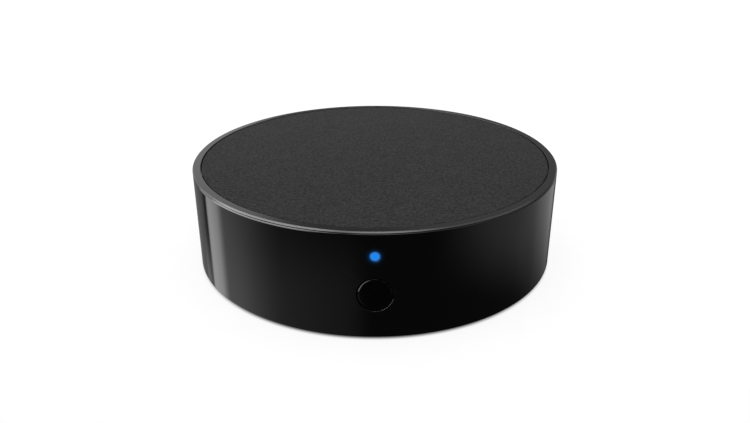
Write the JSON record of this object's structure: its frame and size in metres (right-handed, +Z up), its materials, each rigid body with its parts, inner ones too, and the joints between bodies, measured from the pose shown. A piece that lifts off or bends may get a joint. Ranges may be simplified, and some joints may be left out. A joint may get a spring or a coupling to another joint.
{
  "type": "smart infrared blaster",
  "caption": "Round puck-shaped infrared remote hub with a gloss side shell, a matte lid with a textured panel, a front button under an indicator light, and a USB socket behind.",
  "frame": {"origin": "centre of the round footprint, on the surface that the foot ring stands on", "axes": "+Z up through the lid; the button and the indicator light face -Y; the USB socket faces +Y; +X is to the right of someone who looks at the button"},
  "size_m": [0.066, 0.066, 0.0184],
  "materials": {
    "polycarbonate_gloss": "gloss black, dark infrared-passing polycarbonate",
    "abs_matte_rim": "fine matte moulded",
    "abs_textured_panel": "fine stippled texture",
    "abs_matte_base": "matte moulded",
    "silicone_foot": "soft matte",
    "button_gloss": "gloss black",
    "clear_guide": "clear, lit blue",
    "lamp_white": "small lamp",
    "board_green": "solder mask",
    "module_blue": "solder mask",
    "steel_plated": "zinc plated",
    "tinned_wire": "tinned",
    "gold_plated": "plated",
    "spring_steel": "bright",
    "emitter_lens": "dark tinted epoxy",
    "chip_black": "moulded epoxy",
    "nylon_black": "moulded",
    "nylon_brown": "moulded",
    "aluminium_can": "bright",
    "ceramic_tan": "fired"
  },
  "bodies": {
    "housing": {"side_shell": "polycarbonate_gloss", "top_cover": "abs_matte_rim", "top_panel": "abs_textured_panel", "base_cover": "abs_matte_base", "foot_ring": "silicone_foot", "switch_dome": "spring_steel", "switch_body": "nylon_black", "switch_bracket": "steel_plated", "switch_pins": "gold_plated", "light_pipe": "clear_guide", "indicator_led": "lamp_white", "main_board": "board_green", "housing_screws": "steel_plated", "board_screws": "steel_plated", "ir_emitter_1": "emitter_lens", "ir_emitter_2": "emitter_lens", "ir_emitter_3": "emitter_lens", "ir_emitter_4": "emitter_lens", "ir_emitter_5": "emitter_lens", "ir_emitter_6": "emitter_lens", "emitter_leads": "tinned_wire", "ir_receiver": "chip_black", "receiver_leads": "tinned_wire", "wifi_board": "module_blue", "wifi_shield": "steel_plated", "wifi_chip": "chip_black", "wifi_crystal": "steel_plated", "wifi_antenna": "gold_plated", "usb_shell": "steel_plated", "usb_insulator": "nylon_black", "usb_contacts": "gold_plated", "regulator": "chip_black", "regulator_pins": "tinned_wire", "capacitor_can": "aluminium_can", "capacitor_base": "nylon_black", "driver_transistors": "chip_black", "transistor_pins": "tinned_wire", "chip_resistors": "chip_black", "chip_capacitors": "ceramic_tan"},
    "button": {"button_cap": "button_gloss", "switch_plunger": "nylon_brown"}
  },
  "joints": [
    {"name": "button_press", "type": "slide", "parent": "housing", "child": "button", "axis": [0, 1, 0], "range_m": [0, 0.0003], "stiffness_N_per_m": 1500}
  ]
}
